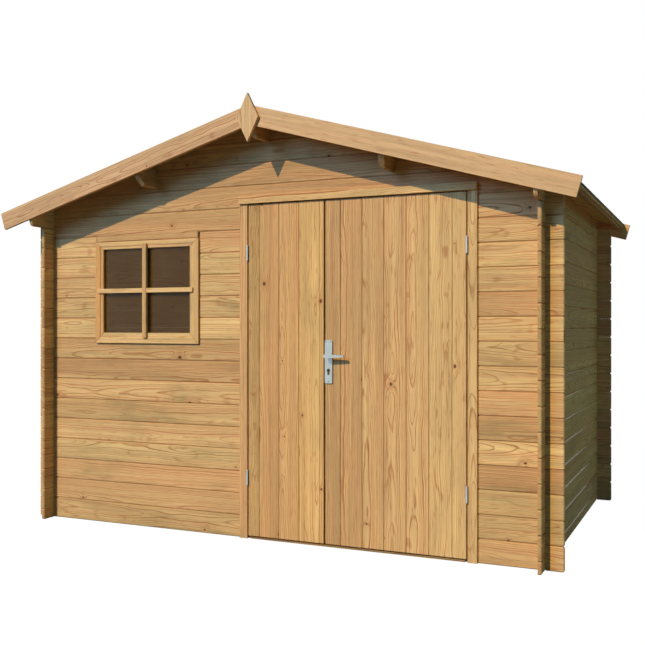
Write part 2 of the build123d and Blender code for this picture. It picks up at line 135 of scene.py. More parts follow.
class Finish:
    # one material and its nodes
    def __init__(self, name):
        self.material = bpy.data.materials.new(name)
        self.material.use_nodes = True
        self.tree = self.material.node_tree
        self.tree.nodes.clear()

    def add(self, kind, settings=None, sockets=None, out=0):
        node = self.tree.nodes.new("ShaderNode" + kind)
        for name, value in (settings or {}).items():
            setattr(node, name, value)
        for name, value in (sockets or {}).items():
            if isinstance(value, Wire):
                self.tree.links.new(value.socket, node.inputs[name])
            else:
                node.inputs[name].default_value = value
        return Wire(self, node.outputs[out]) if node.outputs else None

    def split(self, vector):
        first = self.add("SeparateXYZ", None, {0: vector})
        node = first.socket.node
        return [Wire(self, socket) for socket in node.outputs]

    def join(self, x, y, z=0.0):
        return self.add("CombineXYZ", None, {0: x, 1: y, 2: z})

    def place(self):
        return self.add("TexCoord", None, None, "Object")

    def noise(self, vector, detail=1.0):
        sockets = {"Vector": vector, "Scale": 1.0, "Detail": detail, "Roughness": 0.5}
        return self.add("TexNoise", {"noise_dimensions": "3D"}, sockets)

    def mix(self, share, first, second):
        return self.add("Mix", {"data_type": "RGBA"}, {0: share, 6: first, 7: second}, 2)

    def scale(self, colour, amount):
        start = colour if isinstance(colour, Wire) else colour[:3]
        return self.add("VectorMath", {"operation": "SCALE"}, {0: start, "Scale": amount})

    def bump(self, height, strength, distance):
        sockets = {"Strength": strength, "Distance": distance, "Height": height}
        return self.add("Bump", None, sockets)

    def surface(self, sockets):
        shader = self.add("BsdfPrincipled", None, sockets)
        self.show(shader)
        return self.material

    def show(self, shader):
        self.add("OutputMaterial", None, {"Surface": shader})


# wood: growth rings round a pith that leaves the board, with knots and fibres

woodLook = {
    "light": tint(209, 163, 103), "yellow": tint(228, 186, 112), "pink": tint(204, 147, 88),
    "late": tint(138, 77, 37), "red": tint(172, 94, 48), "stain": tint(150, 125, 74),
    "grime": tint(112, 94, 62), "knot": tint(84, 50, 34), "joint": tint(132, 88, 40),
    "ringWidth": 0.0064, "ringDepth": 0.46, "pithSpread": 0.13, "wobble": 0.016, "ripple": 0.0032,
    "toneSpread": 0.22, "line": 1.6, "fleck": 0.38, "tone": 1.0,
    "knotSpacing": 0.42, "knotShare": 0.36, "knotSize": 0.0078, "stainShare": 0.58, "jointDirtAndPaintedShade": 0.35,
    "rough": 0.66, "bump": 0.35, "endGrain": 0.9, "edgeGloss": 0.0,
}
knotRow = 0.115  # width of a row of knot cells
fibreScale = {"along": 11, "across": 420}
# changes a metre along and across the board, step from board to board, start, detail
figure = {
    "wobble": (3.6, 11, 7.7, 0, 1.5),
    "ripple": (10, 30, 5.1, 2, 1.0),
    "patch": (1.3, 13, 2.3, 4, 1.0),
    "band": (0.5, 38, 1.9, 7, 2.0),
    "stripe": (1.6, 150, 4.1, 3, 2.0),
    "fleck": (13, 330, 2.9, 6, 1.0),
    "blot": (3.4, 8, 0.7, 5, 4.0),
    "streak": (0.8, 60, 1, 11, 2.0),
}


def wood(name, grain, seed, box, pitch=0.0, start=0.0, last=None, turn=0.0, shift=None, look=None):
    # grain names the axes along, across and through the boards
    s = {**woodLook, **(look or {})}
    finish = Finish(name)
    place = finish.place()
    facing = finish.add("TexCoord", None, None, "Normal")
    if turn:
        place = finish.add("Mapping", None, {"Vector": place, "Rotation": (0, turn, 0)})
        facing = finish.add("Mapping", None, {"Vector": facing, "Rotation": (0, turn, 0)})
    axes = dict(zip("XYZ", finish.split(place)))
    normals = dict(zip("XYZ", finish.split(facing)))
    along, across, through = (axes[axis] for axis in grain)
    low, high = (dict(zip("XYZ", corner)) for corner in box)
    if pitch:
        board = ((across - start) / pitch).floor()
        if last is not None:
            board = board.atMost(last)
        local = across - start - (board + 0.5) * pitch
        share = abs(local) / (pitch / 2)
        edge = share.ease(0.95, 1.0) * (share < 1.03)
    else:
        board = 0.0
        local = across - (low[grain[1]] + high[grain[1]]) / 2
        edge = None
    if shift:
        board = board + shift(along, across)
    number = {"W": board * 1.37 + seed}
    pick = finish.add("TexWhiteNoise", {"noise_dimensions": "1D"}, number, "Color")
    luck = finish.split(pick)
    run = along + luck[0] * 61  # no two boards come from the same stretch
    depth = through - low[grain[2]]

    def figureNoise(name, width):
        alongScale, acrossScale, step, start, detail = figure[name]
        return finish.noise(finish.join(run * alongScale, width * acrossScale, board * step + start), detail)

    # knots sit in stretched cells, one row of cells to a board
    cell = finish.join(run / s["knotSpacing"], local / knotRow + 0.5 + board * 5)
    cells = {"Vector": cell, "Scale": 1.0}
    centre = finish.add("TexVoronoi", {"voronoi_dimensions": "2D"}, cells, "Position")
    cellLuck = finish.split(Wire(finish, centre.socket.node.outputs["Color"]))
    away = finish.split(finish.add("VectorMath", {"operation": "SUBTRACT"}, {0: cell, 1: centre}))
    knotRun = away[0] * (s["knotSpacing"] / 1.3)
    knotSide = away[1] * knotRow
    reach = (knotRun * knotRun + knotSide * knotSide).root()
    size = s["knotSize"] * (0.3 + cellLuck[0] * cellLuck[0])
    near = reach / size
    present = cellLuck[1] < s["knotShare"]
    knot = present * (1 - near.ease(0.7, 1.2))
    flow = present * (near * near * -0.1).exp()

    # rings
    slow = finish.noise(finish.join(run * 0.75, board * 3.1, luck[1] * 9))
    pith = 0.004 + slow * 0.19 * s["ringDepth"] + depth
    side = local - (luck[1] - 0.5) * s["pithSpread"]
    wobble = figureNoise("wobble", local)
    ripple = figureNoise("ripple", local)
    ring = (side * side + pith * pith).root() + (wobble - 0.5) * s["wobble"] + flow * size * 1.5
    ring = ring + (ripple - 0.5) * s["ripple"]
    years = finish.noise(finish.join(ring * 70, board * 3.3, 0.5))
    count = ring / (s["ringWidth"] * 0.7 + luck[2] * s["ringWidth"] * 0.6) + years * 2.4
    phase = count.fract()
    late = phase.ease(0.74, 0.9) * (1 - phase.ease(0.93, 1.0)) * 1.2 + phase.ease(0.1, 0.9) * 0.12
    # rings that lie nearly flat in the face show as pale patches with thin rims
    late = late * (0.42 + (abs(side) / ring).ease(0.05, 0.42) * 0.58)
    patch = figureNoise("patch", local)
    band = figureNoise("band", local)
    fine = fibreScale["across"]
    fibre = finish.noise(finish.join(run * fibreScale["along"], local * fine, depth * fine), 2.0)
    strand = local * 0.4 + ring * 0.8  # stripes and flecks follow the rings part of the way
    stripe = figureNoise("stripe", strand)
    fleck = figureNoise("fleck", strand).ease(0.56, 0.76)
    blot = figureNoise("blot", local).ease(0.5, 0.76)
    streak = figureNoise("streak", local).ease(0.55, 0.8)
    ends = abs(normals[grain[0]]).ease(0.6, 0.9)

    # colour
    golden = luck[1] * 0.9 + 0.05 + (band - 0.5) * 2.4
    warm = finish.mix(golden.atLeast(0).atMost(1), s["pink"], s["yellow"])
    pale = finish.mix(0.45, warm, s["light"])
    dark = finish.mix(luck[2], s["late"], s["red"])
    line = late * (patch * 1.3 - 0.2).atLeast(0.08) * s["line"]
    colour = finish.mix(line.atMost(0.75), pale, dark)
    colour = finish.mix(streak * 0.3, colour, s["grime"])
    colour = finish.mix(fleck * s["fleck"], colour, dark)
    colour = finish.mix(blot * (luck[2] * 1.4).atMost(1) * s["stainShare"], colour, s["stain"])
    colour = finish.mix((flow * 0.3).atMost(0.5), colour, s["red"])
    colour = finish.mix(knot * 0.85, colour, s["knot"])
    tone = 1 - s["toneSpread"] * 0.5 + luck[0] * s["toneSpread"]
    tone = tone + (patch - 0.5) * 0.46 + (fibre - 0.5) * 0.4
    tone = (tone + (stripe - 0.5) * (0.34 + patch * 0.5)) * s["tone"]
    colour = finish.scale(colour, tone * (1 - ends * (1 - s["endGrain"])))
    # a darker ochre band along each board's edges: partly dirt in the chamfers, partly painted shade where the
    # grooves between boards lie in shadow
    if edge is not None:
        colour = finish.mix(edge * s["jointDirtAndPaintedShade"], colour, s["joint"])
    height = fibre * 0.5 - late * 0.45 - knot * 0.3
    sockets = {
        "Base Color": colour,
        "Roughness": s["rough"] + fibre * 0.12 - late * 0.06 - knot * 0.1,
        "Specular IOR Level": 0.04,
        "Normal": finish.bump(height, s["bump"], 0.0012),
    }
    if s["edgeGloss"]:
        # upper chamfers are planed smooth and shine at a low angle
        up = normals["Z"]
        sockets["Coat Weight"] = up.ease(0.3, 0.6) * (1 - up.ease(0.8, 0.95)) * s["edgeGloss"]
        sockets["Coat Roughness"] = 0.2
    return finish.surface(sockets)


def dress(node, material):
    piece = nodes[node] if isinstance(node, str) else node
    piece.data.materials.clear()
    piece.data.materials.append(material)


# new pieces

def newPiece(name, mesh, body, material):
    data = bpy.data.meshes.new(name)
    mesh.to_mesh(data)
    mesh.free()
    piece = bpy.data.objects.new(name, data)
    bpy.context.scene.collection.objects.link(piece)
    dress(piece, material)
    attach(piece, body)
    return piece


def addBoard(mesh, low, high, bevel, segments=2):
    # one board between two corners, all its edges eased
    part = block(low, high)
    ease(part, bevel, segments)
    take(mesh, part)


headTaper = 0.72  # top of a screw or nail head against its foot


def addDisc(mesh, centre, radius, height, axis, sides=12):
    # low domed head that stands on a face, pointing along axis
    heads = bmesh.ops.create_cone(mesh, cap_ends=True, segments=sides, radius1=radius,
                                  radius2=radius * headTaper, depth=height)["verts"]
    aim = axis.to_track_quat("Z", "Y").to_matrix()
    bmesh.ops.translate(mesh, vec=(0, 0, height / 2), verts=heads)
    bmesh.ops.rotate(mesh, cent=(0, 0, 0), matrix=aim, verts=heads)
    bmesh.ops.translate(mesh, vec=centre, verts=heads)


def closeCut(part, point, facing):
    # straight cut that drops what lies beyond it and closes the end
    whole = part.verts[:] + part.edges[:] + part.faces[:]
    made = bmesh.ops.bisect_plane(part, geom=whole, dist=1e-6, plane_co=point, plane_no=facing,
                                  clear_outer=True)
    rim = [item for item in made["geom_cut"] if isinstance(item, bmesh.types.BMEdge)]
    bmesh.ops.holes_fill(part, edges=rim)


def take(mesh, part):
    # moves a finished part into the mesh of its piece
    spare = bpy.data.meshes.new("spare")
    part.to_mesh(spare)
    part.free()
    mesh.from_mesh(spare)
    bpy.data.meshes.remove(spare)


def block(low, high):
    part = bmesh.new()
    bmesh.ops.create_cube(part, size=1)
    low, high = Vector(low), Vector(high)
    bmesh.ops.scale(part, vec=high - low, verts=part.verts)
    bmesh.ops.translate(part, vec=(low + high) / 2, verts=part.verts)
    return part


def ease(part, bevel, segments=1):
    bmesh.ops.bevel(part, geom=part.edges[:], offset=bevel, segments=segments, profile=0.5,
                    affect="EDGES", material=-1)


# log walls: pitch of the courses, and where the short logs beside the window are

wallSet = {
    "pitch": 0.115, "sideStart": -0.0575, "windowAt": -0.75, "windowLow": 1.035, "windowHigh": 1.61,
    "tabLow": 1.577, "tabLeft": -1.1, "tabRight": -0.40, "besideWood": 330, "overWood": 319,
    "weld": 0.00002, "flat": math.radians(0.5), "cornerAt": 0.9, "endEase": 0.0065,
    "backLook": {"light": tint(214, 158, 110), "yellow": tint(228, 176, 116), "pink": tint(210, 144, 98),
                 "tone": 1.08},
    "gableLook": {"tone": 0.9, "toneSpread": 0.14}, "sideLook": {"edgeGloss": 0.42},
}


def shortLogs(along, across):
    # other logs stand right of the window than left of it
    below = across < wallSet["windowHigh"]
    beside = (across > wallSet["windowLow"]) * below * (along > wallSet["windowAt"])
    # the long log over the window reaches down to it with a tab
    tab = (across > wallSet["tabLow"]) * below
    tab = tab * (along > wallSet["tabLeft"]) * (along < wallSet["tabRight"])
    over = tab.atLeast(across > wallSet["windowHigh"])
    return beside * (1 - tab) * wallSet["besideWood"] + tab + over * wallSet["overWood"]


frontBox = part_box("front_wall_left")
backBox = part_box("back_wall")
frontWood = wood("frontLogs", "XZY", 290.3, frontBox, wallSet["pitch"], shift=shortLogs)
rightPartWood = wood("doorSideLogs", "XZY", 133.0, frontBox, wallSet["pitch"])
backWood = wood("backLogs", "XZY", 15.2, backBox, wallSet["pitch"], look=wallSet["backLook"])


def solids(mesh):
    # the faces of each separate solid
    found = []
    done = set()
    for first in mesh.faces:
        if first.index in done:
            continue
        done.add(first.index)
        solid = [first]
        for face in solid:
            for edge in face.edges:
                for other in edge.link_faces:
                    if other.index not in done:
                        done.add(other.index)
                        solid.append(other)
        found.append(solid)
    return found


def easedLogs(name, node, axis, material):
    # the CAD logs, welded, with the upper and lower edges of their free ends eased
    whole = bmesh.new()
    whole.from_mesh(nodes[node].data)
    bmesh.ops.transform(whole, matrix=nodes[node].matrix_world, verts=whole.verts)
    bmesh.ops.remove_doubles(whole, verts=whole.verts, dist=wallSet["weld"])
    bmesh.ops.dissolve_limit(whole, angle_limit=wallSet["flat"], verts=whole.verts, edges=whole.edges)
    whole.faces.index_update()
    low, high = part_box(node)
    tips = [(side, tip) for side, tip in ((-1, low[axis]), (1, high[axis])) if abs(tip) > wallSet["cornerAt"]]
    mesh = bmesh.new()
    for solid in solids(whole):
        log = whole.copy()
        kept = {face.index for face in solid}
        others = [face for face in log.faces if face.index not in kept]
        bmesh.ops.delete(log, geom=others, context="FACES")
        for side, tip in tips:
            atTip = [corner for corner in log.verts if abs(corner.co[axis] - tip) < wallSet["endEase"]]
            if not atTip:
                continue
            heights = [corner.co.z for corner in atTip]
            for up, height in ((1, max(heights)), (-1, min(heights))):
                point = Vector((0, 0, height))
                point[axis] = tip - side * wallSet["endEase"]
                facing = Vector((0, 0, up))
                facing[axis] = side
                closeCut(log, point, facing)
        take(mesh, log)
    whole.free()
    piece = newPiece(name, mesh, "shed", material)
    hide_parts(node)


gableWood = wood("gableLogs", "XZY", 5.4, frontBox, wallSet["pitch"], look=wallSet["gableLook"])
dress("front_gable", gableWood)
dress("back_gable", backWood)
easedLogs("frontLeftLogs", "front_wall_left", 0, frontWood)
easedLogs("frontRightLogs", "front_wall_right", 0, rightPartWood)
easedLogs("backLogs", "back_wall", 0, backWood)
for side, seed in (("left", 21.7), ("right", 27.3)):
    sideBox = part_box(side + "_wall")
    sideWood = wood(side + "Logs", "YZX", seed, sideBox, wallSet["pitch"], wallSet["sideStart"],
                    look=wallSet["sideLook"])
    easedLogs(side + "SideLogs", side + "_wall", 1, sideWood)
    dress(side + "_eaves_log", sideWood)
print("stage: log walls")

# roof timber

roofSet = {
    "pitch": 16, "boardThickness": 0.018, "boards": 19, "boardBevel": 0.0025, "boardGap": 0.0008,
    "ridgeGap": 0.006, "seed": 121.5,
    "feltThickness": 0.0032, "feltGap": 0.0002, "feltInset": 0.0005, "feltRidgeGap": 0.002, "feltOverhang": 0.004,
    "stripWidth": 1.0, "stripSlack": 0.01, "lap": 0.09, "fold": 0.004, "foldFlare": 0.0015,
    "nailRadius": 0.005, "nailHeight": 0.0014, "nailStep": 0.14, "nailInset": 0.02, "nailSides": 8,
}
# the purlins' low tone of 0.7 is painted shade: it darkens them as if they lay in the shadow of the barge boards
purlinSet = {"seed": 31.4, "seedStep": 3.7, "look": {"tone": 0.7}}
bargeSet = {
    "depth": 0.095, "seeds": {"front_left": 41.3, "front_right": 44.9, "back_left": 47.2, "back_right": 50.8},
    "look": {"toneSpread": 0.1, "knotShare": 0.08, "ringWidth": 0.005, "ringDepth": 0.3, "pithSpread": 0.34,
             "wobble": 0.008, "ripple": 0.0012, "line": 1.0, "tone": 1.06,
             "yellow": tint(218, 172, 118), "pink": tint(206, 152, 108)},
    # the left boards were cut near the pith, so their rings show as long loops
    "leftLook": {"knotShare": 0.2, "ringWidth": 0.0064, "ringDepth": 0.34, "pithSpread": 0.06,
                 "wobble": 0.026, "ripple": 0.003, "line": 1.5},
}
battenSet = {"seed": 55.1, "look": {"knotShare": 0.2, "tone": 0.78}}
finialSet = {
    "seeds": {"front": 61.7, "back": 64.2},
    "look": {"toneSpread": 0.1, "knotShare": 0.0, "ringWidth": 0.010, "ringDepth": 0.3, "line": 3.2, "fleck": 0.9,
             "light": tint(218, 176, 116), "yellow": tint(228, 186, 120), "pink": tint(222, 172, 112),
             "late": tint(168, 104, 62), "tone": 1.1},
}
slope = math.radians(roofSet["pitch"])
for number, node in enumerate(("ridge_purlin", "left_purlin", "right_purlin")):
    seed = purlinSet["seed"] + number * purlinSet["seedStep"]
    dress(node, wood(node + "Wood", "YZX", seed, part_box(node), look=purlinSet["look"]))
for corner, seed in bargeSet["seeds"].items():
    turn, look = -slope, bargeSet["look"]
    if "left" in corner:
        turn, look = slope, {**look, **bargeSet["leftLook"]}
    low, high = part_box(corner + "_bargeboard")
    middle = (low + high) / 2
    middle.rotate(Matrix.Rotation(turn, 3, "Y"))
    span = Vector((1, high.y - low.y, bargeSet["depth"])) / 2
    box = (middle - span, middle + span)
    dress(corner + "_bargeboard", wood(corner + "Barge", "XZY", seed, box, turn=turn, look=look))
for side, turn in (("left", slope), ("right", -slope)):
    node = side + "_eaves_batten"
    dress(node, wood(side + "Batten", "YXZ", battenSet["seed"] + turn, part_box(node), look=battenSet["look"]))
for end, seed in finialSet["seeds"].items():
    node = end + "_finial"
    dress(node, wood(end + "Finial", "ZXY", seed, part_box(node), look=finialSet["look"]))
print("stage: roof timber")


# metal

def metal(name, colour, rough, scratch):
    finish = Finish(name)
    place = finish.place()
    x, y, z = finish.split(place)
    brushed = finish.noise(finish.join(x * 260, y * 260, z * 30), 2.0)
    cloud = finish.noise(finish.join(x * 22, y * 22, z * 22), 3.0)
    tone = 0.86 + cloud * 0.18 + (brushed - 0.5) * scratch
    return finish.surface({
        "Base Color": finish.scale(colour, tone),
        "Metallic": 1.0,
        "Roughness": rough + brushed * 0.12 + cloud * 0.08,
        "Normal": finish.bump(brushed, 0.08, 0.0004),
    })


hingeMetal = metal("zincPlate", tint(176, 184, 190), 0.34, 0.12)
handleMetal = metal("satinHandle", tint(160, 172, 176), 0.36, 0.1)
for side in ("left", "right"):
    dress(side + "_hinge_frame_halves", hingeMetal)
    dress(side + "_hinge_door_halves", hingeMetal)
for node in ("outer_lock_plate", "inner_lock_plate", "lever_handle"):
    dress(node, handleMetal)
# the cylinder's dark brass colour is painted shade: it darkens the keyhole to the look of lying in shadow
dress("lock_cylinder", metal("keyBrassPaintedShade", tint(84, 72, 44), 0.42, 0.1))

# lock plate screws, and the key's rotor and slot; their dark colour is painted shade, standing in for the shadow
# in sunk screw holes and in the keyway

lockSet = {"screws": ((0.3375, 1.0275), (0.3645, 1.0275), (0.352, 0.8285)), "radius": 0.0026, "height": 0.0008,
           "key": (0.352, 0.885), "rotor": 0.0062, "rotorSides": 20, "slotWidth": 0.0016, "slotHeight": 0.0085,
           "slotSink": 0.0006, "slotProud": 0.0004, "slotEase": 0.0002}
outward, inward, upward = Vector((0, -1, 0)), Vector((0, 1, 0)), Vector((0, 0, 1))
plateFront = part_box("outer_lock_plate")[0].y
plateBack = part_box("inner_lock_plate")[1].y
mesh = bmesh.new()
for level, way in ((plateFront, outward), (plateBack, inward)):
    for x, z in lockSet["screws"]:
        addDisc(mesh, (x, level, z), lockSet["radius"], lockSet["height"], way)
paintedShadeMetal = metal("paintedShadeScrews", tint(58, 58, 56), 0.5, 0.1)
piece = newPiece("lockScrews", mesh, "right_door", paintedShadeMetal)
mesh = bmesh.new()
keyLow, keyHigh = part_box("lock_cylinder")
keyX, keyZ = lockSet["key"]
slotX, slotZ = lockSet["slotWidth"] / 2, lockSet["slotHeight"] / 2
for level, way in ((keyLow.y, outward), (keyHigh.y, inward)):
    addDisc(mesh, (keyX, level, keyZ), lockSet["rotor"], lockSet["height"], way, lockSet["rotorSides"])
    face = level + way.y * lockSet["height"]
    addBoard(mesh, (keyX - slotX, face - lockSet["slotSink"], keyZ - slotZ),
             (keyX + slotX, face + lockSet["slotProud"], keyZ + slotZ), lockSet["slotEase"], 1)
piece = newPiece("keySlots", mesh, "right_door", paintedShadeMetal)

# one small screw beside the lock on the narrow leaf

leafScrewSet = {"x": 0.306, "z": 0.842, "radius": 0.0042, "height": 0.001}
place = (leafScrewSet["x"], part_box("left_door_boards")[0].y, leafScrewSet["z"])
mesh = bmesh.new()
addDisc(mesh, place, leafScrewSet["radius"], leafScrewSet["height"], outward)
piece = newPiece("leafScrew", mesh, "left_door", hingeMetal)

# glass

# the panes' brown tint is painted: it stands in for the shaded inside of the shed and the trees mirrored in the
# glass
glassSet = {"dark": tint(138, 94, 40), "pale": tint(160, 115, 54), "through": 0.5, "bend": 1.48, "cover": 0.26}
glassFinish = Finish("windowPane")
paneX, paneY, paneZ = glassFinish.split(glassFinish.place())
smear = glassFinish.noise(glassFinish.join(paneX * 9, paneY * 9, paneZ * 4), 3.0)
dust = glassFinish.noise(glassFinish.join(paneX * 160, paneY * 160, paneZ * 160), 2.0)
paneTintPaintedShadeAndReflection = glassFinish.mix(smear, glassSet["dark"], glassSet["pale"])
dress("window_glass", glassFinish.surface({
    "Base Color": glassFinish.scale(paneTintPaintedShadeAndReflection, 0.9 + dust * 0.12),
    "Roughness": 0.02 + smear * 0.05,
    "Transmission Weight": glassSet["through"],
    "IOR": glassSet["bend"],
    "Alpha": glassSet["cover"] + smear * 0.12,
}))
print("stage: metal and glass")

# door frame

frameWoods = {
    "door_left_jamb": ("ZXY", 71.3, 1.14), "door_right_jamb": ("ZXY", 74.8, 1.01),
    # the sill's tone of 0.5 is painted shade: it darkens the sill as if it lay in shadow below the doors
    "door_head": ("XZY", 78.1, 1.07), "door_sill": ("XYZ", 81.6, 0.5), "window_lining": ("XZY", 84.2, 1.07),
}
for node, (grain, seed, tone) in frameWoods.items():
    look = {"knotShare": 0.25, "toneSpread": 0.1, "tone": tone}
    dress(node, wood(node + "Wood", grain, seed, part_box(node), look=look))

# door leaves of upright boards, one board wider than the rest by the lock gap

leafSet = {
    "left": {"joints": (-0.0435, 0.0705, 0.1845), "seed": 285.8, "last": 2, "lean": 1,
             "look": {"tone": 0.97, "light": tint(208, 157, 95), "yellow": tint(225, 178, 102)}},
    "right": {"joints": (0.4145, 0.5285, 0.6425, 0.7565, 0.8705, 0.9845), "seed": 291.8, "last": 5, "lean": -1,
              "look": {"tone": 0.98}},
}
leafLook = {"ringDepth": 0.36, "pithSpread": 0.13, "wobble": 0.024, "ripple": 0.004, "line": 1.45, "fleck": 0.5,
            "toneSpread": 0.3, "jointDirtAndPaintedShade": 0.6, "stainShare": 0.2}
ledgeSet = {"width": 0.095, "brace": 0.080, "bevel": 0.003, "gap": 0.0003, "ledgeSeed": 2.2, "braceSeed": 4.1,
            "screw": 0.0042, "screwHeight": 0.0012, "screwInset": 0.02, "screwShares": (0.28, 0.72),
            "screwSides": 10}
boardSet = {"pitch": 0.114, "gap": 0.0006, "bevel": 0.0028}
for side, leaf in leafSet.items():
    node, door = side + "_door_boards", side + "_door"
    low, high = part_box(node)
    stops = (low.x,) + leaf["joints"] + (high.x,)
    boards = list(zip(stops, stops[1:]))
    inset = boardSet["gap"] / 2
    mesh = bmesh.new()
    for left, right in boards:
        addBoard(mesh, (left + inset, low.y, low.z), (right - inset, high.y, high.z), boardSet["bevel"])
    boardWood = wood(side + "DoorBoards", "ZXY", leaf["seed"], (low, high), boardSet["pitch"], leaf["joints"][0],
                     last=leaf["last"], look={**leafLook, **leaf["look"]})
    piece = newPiece(side + "LeafBoards", mesh, door, boardWood)
    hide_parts(node)

    # ledges and brace on the inside, screwed to the boards
    node = side + "_door_ledges"
    low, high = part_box(node)
    foot, head = low.z + ledgeSet["width"], high.z - ledgeSet["width"]
    mesh = bmesh.new()
    for bottom in (low.z, head):
        addBoard(mesh, (low.x, low.y, bottom), (high.x, high.y, bottom + ledgeSet["width"]), ledgeSet["bevel"])
    ledgeWood = wood(side + "LedgeWood", "XZY", leaf["seed"] + ledgeSet["ledgeSeed"], (low, high),
                     head - low.z, low.z)
    ledges = newPiece(side + "LeafLedges", mesh, door, ledgeWood)

    lean = (high.x - low.x - ledgeSet["brace"]) / (head - foot) * leaf["lean"]
    middle = (low + high) / 2
    half = ledgeSet["brace"] / 2
    part = block((-half, low.y, foot + ledgeSet["gap"]), (half, high.y, head - ledgeSet["gap"]))
    slant = Matrix.Identity(4)
    slant[0][2] = lean
    slant[0][3] = middle.x - lean * middle.z
    bmesh.ops.transform(part, matrix=slant, verts=part.verts)
    ease(part, ledgeSet["bevel"], 2)
    turn = -math.atan(lean)
    turned = Matrix.Rotation(turn, 3, "Y") @ middle
    span = Vector((ledgeSet["brace"], high.y - low.y, head - foot)) / 2
    box = (turned - span, turned + span)
    braceWood = wood(side + "BraceWood", "ZXY", leaf["seed"] + ledgeSet["braceSeed"], box, turn=turn)
    brace = newPiece(side + "LeafBrace", part, door, braceWood)
    for piece in (ledges, brace):
        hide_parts(node)

    mesh = bmesh.new()
    for left, right in boards:
        across = max((left + right) / 2, low.x + ledgeSet["screwInset"])
        across = min(across, high.x - ledgeSet["screwInset"])
        for bottom in (low.z, head):
            for share in ledgeSet["screwShares"]:
                place = (across, high.y, bottom + ledgeSet["width"] * share)
                addDisc(mesh, place, ledgeSet["screw"], ledgeSet["screwHeight"], inward, ledgeSet["screwSides"])
    screws = newPiece(side + "LedgeScrews", mesh, door, hingeMetal)
print("stage: door leaves")

# window trim of four mitred boards with a stepped inner edge, and the bars across the pane

trimSet = {"left": 0.055, "right": 0.055, "top": 0.041, "bottom": 0.058, "stepShare": 0.62, "step": 0.0022,
           "bevel": 0.0016, "gap": 0.0004, "seed": 102.5, "seedStep": 4.3,
           "look": {"toneSpread": 0.08, "knotShare": 0.2, "tone": 1.08},
           "warmBoard": {"light": tint(206, 151, 86), "yellow": tint(216, 163, 94), "pink": tint(204, 143, 80)}}
barSet = {"width": 0.026, "height": 0.025, "proud": 0.010, "depth": 0.017, "bevel": 0.0022, "lap": 0.0015,
          "middleX": -0.750, "middleZ": 1.3015, "tall": (1.040, 1.561), "wide": (-1.065, -0.441)}
trimLow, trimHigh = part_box("window_trim")


def trimBoard(edge, starts, ends, depths, bevel):
    # one side of a frame: starts and ends are how far its two edges lie inside the trim's outline
    outer = {name: trimSet[name] * starts for name in ("left", "right", "top", "bottom")}
    inner = {name: trimSet[name] * ends for name in ("left", "right", "top", "bottom")}
    low = [trimLow.x + outer["left"], depths[0], trimLow.z + outer["bottom"]]
    high = [trimHigh.x - outer["right"], depths[1], trimHigh.z - outer["top"]]
    axis, sign = {"left": (0, -1), "right": (0, 1), "bottom": (2, -1), "top": (2, 1)}[edge]
    across = inner[edge] - outer[edge]
    if sign < 0:
        high[axis] = low[axis] + across
    else:
        low[axis] = high[axis] - across
    part = block(low, high)
    centre = (Vector(low) + Vector(high)) / 2
    for sideName, sideSign in (("left", -1), ("right", 1)) if axis else (("bottom", -1), ("top", 1)):
        other = 2 - axis
        tip = Vector(centre)
        tip[axis] = (trimLow if sign < 0 else trimHigh)[axis]
        tip[other] = (trimLow if sideSign < 0 else trimHigh)[other]
        facing = Vector()
        facing[axis] = -sign * trimSet[sideName]
        facing[other] = sideSign * trimSet[edge]
        facing.normalize()
        closeCut(part, tip - facing * trimSet["gap"], facing)
    ease(part, bevel)
    return part


for number, edge in enumerate(("left", "right", "bottom", "top")):
    share, bevel = trimSet["stepShare"], trimSet["bevel"]
    mesh = bmesh.new()
    take(mesh, trimBoard(edge, 0, share, (trimLow.y, trimHigh.y), bevel))
    take(mesh, trimBoard(edge, share, 1, (trimLow.y + trimSet["step"], trimHigh.y), bevel))
    grain = "ZXY" if number < 2 else "XZY"
    look = {**trimSet["look"], **(trimSet["warmBoard"] if edge == "left" else {})}
    seed = trimSet["seed"] + number * trimSet["seedStep"]
    stripWood = wood(edge + "TrimWood", grain, seed, (trimLow, trimHigh), look=look)
    piece = newPiece(edge + "WindowTrim", mesh, "shed", stripWood)
    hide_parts("window_trim")
innerWood = wood("innerTrimWood", "XZY", 106.5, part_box("window_inner_trim"), look={"toneSpread": 0.1})
dress("window_inner_trim", innerWood)
barFront = trimLow.y - barSet["proud"]
barBack = barFront + barSet["depth"]
barLeft, barRight = (barSet["middleX"] + way * barSet["width"] / 2 for way in (-1, 1))
barLow, barHigh = (barSet["middleZ"] + way * barSet["height"] / 2 for way in (-1, 1))
bottom, top = barSet["tall"]
mesh = bmesh.new()
addBoard(mesh, (barLeft, barFront - barSet["lap"], bottom), (barRight, barBack, top), barSet["bevel"])
tallWood = wood("tallBarWood", "ZXY", 111.8, (trimLow, trimHigh), look={"knotShare": 0.1})
tallBar = newPiece("windowTallBar", mesh, "shed", tallWood)
mesh = bmesh.new()
for start, end in ((barSet["wide"][0], barLeft), (barRight, barSet["wide"][1])):
    addBoard(mesh, (start, barFront, barLow), (end, barBack, barHigh), barSet["bevel"])
wideWood = wood("wideBarWood", "XZY", 114.3, (trimLow, trimHigh), look={"knotShare": 0.1, "tone": 1.05})
wideBar = newPiece("windowWideBar", mesh, "shed", wideWood)
print("stage: window trim and bars")

# roof boards down the slope, and felt in lapped strips

feltSet = {"dark": tint(20, 20, 22), "grey": tint(36, 37, 38), "spark": tint(62, 63, 64), "grain": 420.0}


